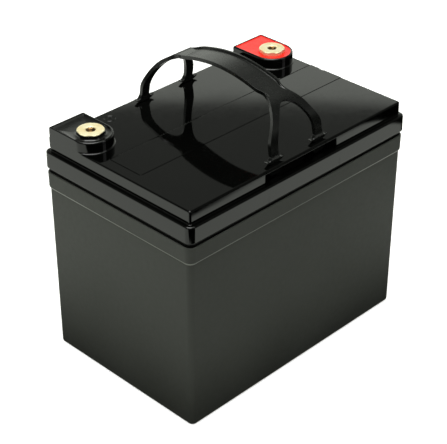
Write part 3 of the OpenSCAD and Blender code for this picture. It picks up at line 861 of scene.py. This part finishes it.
# ------------------------------------------------------------------ floor
def make_floor():
    n, rings = 96, []
    for r in (0.0, 0.3, 1.0, 3.0, 9.0, 30.0):
        rings.append(r)
    verts, faces = [(0, 0, 0)], []
    for r in rings[1:]:
        verts += [(r / MM * math.cos(2 * math.pi * i / n), r / MM * math.sin(2 * math.pi * i / n), -0.05) for i in range(n)]
    verts[0] = (0, 0, -0.05)
    for i in range(n):
        faces.append((0, 1 + i, 1 + (i + 1) % n))
    for k in range(len(rings) - 2):
        o = 1 + k * n
        for i in range(n):
            faces.append((o + i, o + n + i, o + n + (i + 1) % n, o + (i + 1) % n))
    ob = link("studio_floor", verts, faces)
    m, t, p, co = start("floor_pale")
    sock(p.inputs["Base Color"], mix_col(t, remap(t, noise(t, co, 30.0, 2.0, 0.5), 0.3, 0.7, 0.0, 1.0), (0.80, 0.80, 0.79), (0.82, 0.82, 0.81)))
    p.inputs["Roughness"].default_value = 0.9
    p.inputs["Specular IOR Level"].default_value = 0.1
    p.inputs["Emission Color"].default_value = (1.0, 1.0, 0.985, 1.0)
    p.inputs["Emission Strength"].default_value = 0.55
    # what the object sees of the floor: painted contact shade, darker close by, and black past the front edge of the
    # white board
    sep = nd(t, "ShaderNodeSeparateXYZ", {0: co})
    x, y = sep.outputs[0], sep.outputs[1]
    dx = math_n(t, "MAXIMUM", math_n(t, "SUBTRACT", math_n(t, "ABSOLUTE", x), LID_L / 2 * MM), 0.0)
    dy = math_n(t, "MAXIMUM", math_n(t, "SUBTRACT", math_n(t, "ABSOLUTE", y), LID_W / 2 * MM), 0.0)
    d = math_n(t, "SQRT", math_n(t, "ADD", math_n(t, "MULTIPLY", dx, dx), math_n(t, "MULTIPLY", dy, dy)))
    contact_painted_shade = remap(t, d, 0.015, 0.10, 0.0, 1.0, True)
    cx = math_n(t, "MAXIMUM", math_n(t, "SUBTRACT", x, 0.285), 0.0)
    cy = math_n(t, "MAXIMUM", math_n(t, "SUBTRACT", -0.2225, y), 0.0)
    edge = math_n(t, "SQRT", math_n(t, "ADD", math_n(t, "MULTIPLY", cx, cx), math_n(t, "MULTIPLY", cy, cy)))
    side = math_n(t, "MULTIPLY", remap(t, edge, 0.024, 0.030, 1.0, 0.0, True), remap(t, math_n(t, "ADD", x, y), -0.474, -0.455, 0.0, 1.0, True))
    seen = nd(t, "ShaderNodeEmission", {"Color": (0.955, 1.0, 0.91), "Strength": math_n(t, "MULTIPLY", math_n(t, "MULTIPLY", contact_painted_shade, side), FLOOR_GLOW)}).outputs[0]
    cam_ray = t.nodes.new("ShaderNodeLightPath").outputs["Is Camera Ray"]
    mixer = nd(t, "ShaderNodeMixShader", {0: cam_ray, 1: seen, 2: p.outputs[0]})
    t.links.new(mixer.outputs[0], t.nodes["Material Output"].inputs[0])
    ob.data.materials.append(m)
    return ob


FLOOR_GLOW = 1.0
make_floor()

# ------------------------------------------------------------------ studio light
world = bpy.data.worlds.new("studio")
scene.world = world
world.use_nodes = True
wt = world.node_tree
wt.nodes.clear()
wout = wt.nodes.new("ShaderNodeOutputWorld")
bg = wt.nodes.new("ShaderNodeBackground")
wt.links.new(bg.outputs[0], wout.inputs[0])
wdir = wt.nodes.new("ShaderNodeTexCoord").outputs["Generated"]
wsep = nd(wt, "ShaderNodeSeparateXYZ", {0: wdir})
wx, wy, wz = wsep.outputs[0], wsep.outputs[1], wsep.outputs[2]
back = math_n(wt, "MULTIPLY", math_n(wt, "ADD", wx, wy), 0.7071)
left = math_n(wt, "MULTIPLY", math_n(wt, "SUBTRACT", wy, wx), 0.7071)
paper = math_n(wt, "MULTIPLY", remap(wt, wz, 0.4555, 0.4655, 1.0, 0.0, True), remap(wt, back, 0.25, 0.80, 0.0, 1.0, True))
low = math_n(wt, "MULTIPLY", remap(wt, wz, 0.14, 0.24, 1.0, 0.0, True), remap(wt, left, -0.75, 0.30, 0.25, 1.0, True))
over = remap(wt, wz, 0.80, 0.90, 0.0, 1.0, True)
room = remap(wt, back, 0.20, 0.75, 0.05, 0.195, True)
val = math_n(wt, "MAXIMUM", math_n(wt, "MULTIPLY", paper, 0.86), math_n(wt, "MULTIPLY", low, 0.92))
val = math_n(wt, "ADD", val, room)
val = math_n(wt, "ADD", val, math_n(wt, "MULTIPLY", over, 1.6))
sock(bg.inputs["Strength"], val)
bg.inputs["Color"].default_value = (0.955, 1.0, 0.91, 1.0)


def area(name, loc, target, size, size_y, power, color=(1, 1, 1)):
    li = bpy.data.lights.new(name, "AREA")
    li.shape, li.size, li.size_y, li.energy, li.color = "RECTANGLE", size, size_y, power, color
    ob = bpy.data.objects.new(name, li)
    scene.collection.objects.link(ob)
    ob.location = loc
    ob.rotation_mode = "QUATERNION"
    ob.rotation_quaternion = (Vector(target) - Vector(loc)).to_track_quat("-Z", "Y")
    return ob


area("softbox_top", (-0.35, -0.15, 1.9), (0, 0, 0.1), 1.3, 1.3, 26)
area("strip_right", (0.78, -1.67, 1.27), (0, 0, 0.15), 0.60, 1.0, 3)

# ------------------------------------------------------------------ camera
CAM = dict(az=-0.7966248224192904, el=0.5729213778283756, dist=0.929289596326347, daz=0.0040985058670066216, de=-0.007728465927843575, roll=0.0006029412781509487, f=1406.8194649524903)


def make_camera():
    az, el, d = CAM["az"], CAM["el"], CAM["dist"]
    pos = Vector((0, 0, 0.07)) + d * Vector((math.sin(az) * math.cos(el), -math.cos(az) * math.cos(el), math.sin(el)))
    az, el = az + CAM["daz"], el + CAM["de"]
    fwd = -Vector((math.sin(az) * math.cos(el), -math.cos(az) * math.cos(el), math.sin(el)))
    right = fwd.cross(Vector((0, 0, 1))).normalized()
    up = right.cross(fwd)
    c, s = math.cos(CAM["roll"]), math.sin(CAM["roll"])
    r, u = c * right + s * up, -s * right + c * up
    cam = bpy.data.cameras.new("camera")
    ob = bpy.data.objects.new("camera", cam)
    scene.collection.objects.link(ob)
    cam.sensor_fit, cam.sensor_width = "HORIZONTAL", 36.0
    cam.lens = CAM["f"] * 36.0 / 447.0
    cam.clip_start, cam.clip_end = 0.01, 100.0
    m = Matrix((r, u, -fwd)).transposed()
    ob.matrix_world = Matrix.Translation(pos) @ m.to_4x4()
    scene.camera = ob


make_camera()
scene.view_settings.view_transform = "Standard"
scene.view_settings.look = "None"
